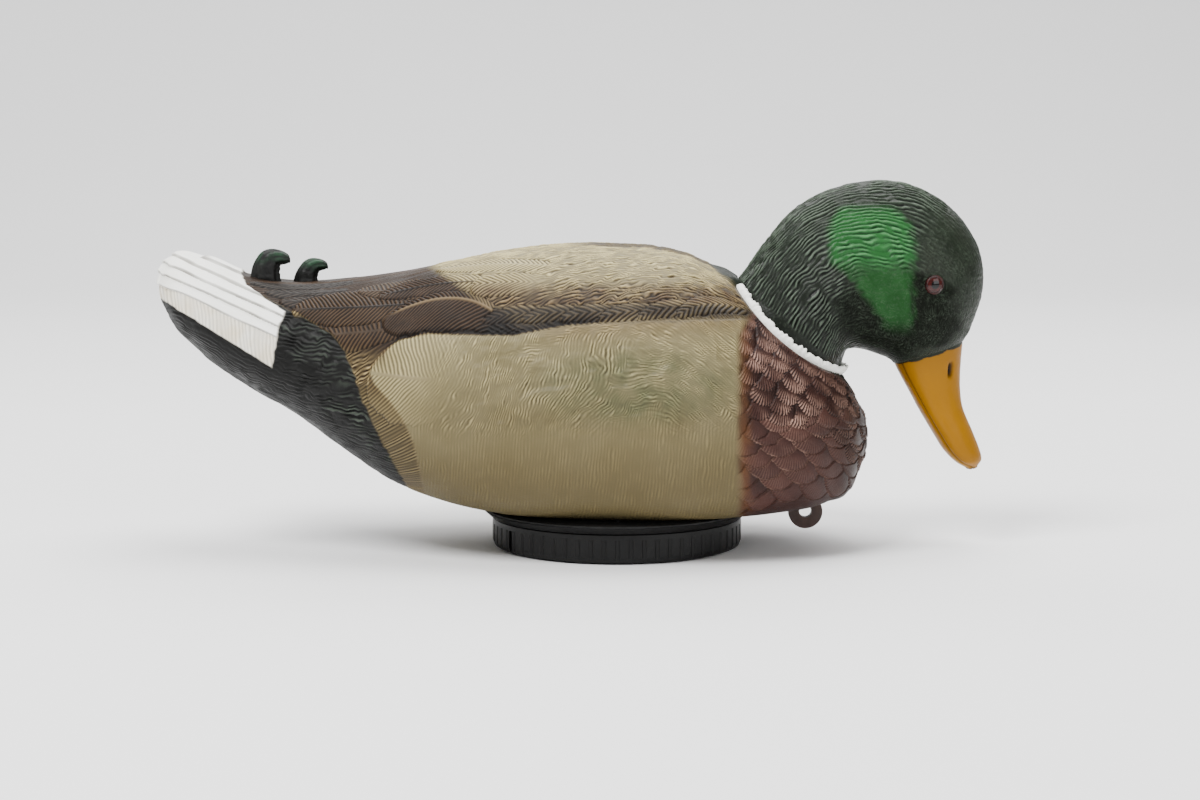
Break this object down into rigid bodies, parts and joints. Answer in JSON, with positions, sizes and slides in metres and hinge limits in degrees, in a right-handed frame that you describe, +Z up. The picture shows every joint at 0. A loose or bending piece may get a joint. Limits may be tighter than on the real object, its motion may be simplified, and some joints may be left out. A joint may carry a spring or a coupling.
{
  "type": "floating duck decoy",
  "caption": "Hollow floating mallard drake decoy with a turning head, curled tail feathers, an anchor line eye and a round screw-on base over a motor housing.",
  "frame": {"origin": "centre of the flat underside of the base, on the axis of the screw ring", "axes": "+X towards the bird's head, +Y towards its left side, +Z up"},
  "size_m": [0.3962, 0.1602, 0.1766],
  "materials": {
    "body": "matte painted plumage",
    "neck_ring": "matte paint",
    "head": "dark green satin paint",
    "bill": "satin paint",
    "eye": "glossy",
    "curl": "matte paint",
    "line_eye": "moulded",
    "housing": "moulded",
    "rubber": "soft",
    "screw_steel": "stainless",
    "ring": "moulded",
    "closure": "moulded",
    "ballast": "painted",
    "carrier": "moulded",
    "cells": "sleeved",
    "nickel": "bright",
    "motor_steel": "laminated",
    "end_bell": "moulded",
    "brass": "cast",
    "magnet": "carbon",
    "slider": "moulded",
    "lead_red": "sheathed",
    "lead_black": "sheathed"
  },
  "bodies": {
    "hull": {"body_shell": "body", "neck_ring": "neck_ring", "tail_curl_rear": "curl", "tail_curl_front": "curl", "anchor_eye": "line_eye", "motor_housing": "housing", "flange_gasket": "rubber", "flange_screws": "screw_steel", "battery_carrier": "carrier", "carrier_screws": "screw_steel", "battery_cover": "carrier", "cover_screws": "screw_steel", "battery_cells": "cells", "cell_springs": "nickel", "upper_contacts": "nickel", "lower_contacts": "nickel", "motor_can": "motor_steel", "motor_end_bell": "end_bell", "motor_bushes": "brass", "motor_magnets": "magnet", "motor_brushes": "magnet", "motor_terminals": "brass", "motor_screws": "screw_steel", "switch_body": "carrier", "lead_positive": "lead_red", "lead_negative": "lead_black", "lead_switch": "lead_red"},
    "head": {"head_shell": "head", "bill": "bill", "eye_left": "eye", "eye_right": "eye"},
    "closure": {"closure_disc": "closure", "closure_seal": "rubber", "ballast_plate": "ballast", "ballast_screws": "screw_steel"},
    "ring": {"screw_ring": "ring"},
    "rotor": {"motor_shaft": "screw_steel", "motor_armature": "motor_steel", "motor_commutator": "brass", "eccentric_weight": "brass", "weight_set_screw": "screw_steel"},
    "slider": {"switch_slider": "slider"}
  },
  "joints": [
    {"name": "head_swivel", "type": "hinge", "parent": "hull", "child": "head", "pos_m": [0.0829, 0, 0.1075], "axis": [0.6428, 0, 0.766], "range_deg": [-60, 60]},
    {"name": "closure_drop", "type": "slide", "parent": "hull", "child": "closure", "axis": [0, 0, -1], "range_m": [0, 0.006]},
    {"name": "ring_turn", "type": "hinge", "parent": "closure", "child": "ring", "pos_m": [0, 0, 0], "axis": [0, 0, -1], "range_deg": [0, 541]},
    {"name": "rotor_spin", "type": "hinge", "parent": "hull", "child": "rotor", "pos_m": [0, 0, 0.05], "axis": [0, 0, 1], "continuous": true},
    {"name": "switch_slide", "type": "slide", "parent": "hull", "child": "slider", "axis": [1, 0, 0], "range_m": [0, 0.0044]}
  ],
  "couplings": [
    {"joint": "ring_turn", "follows": "closure_drop", "rad_per_m": 1570.8}
  ]
}
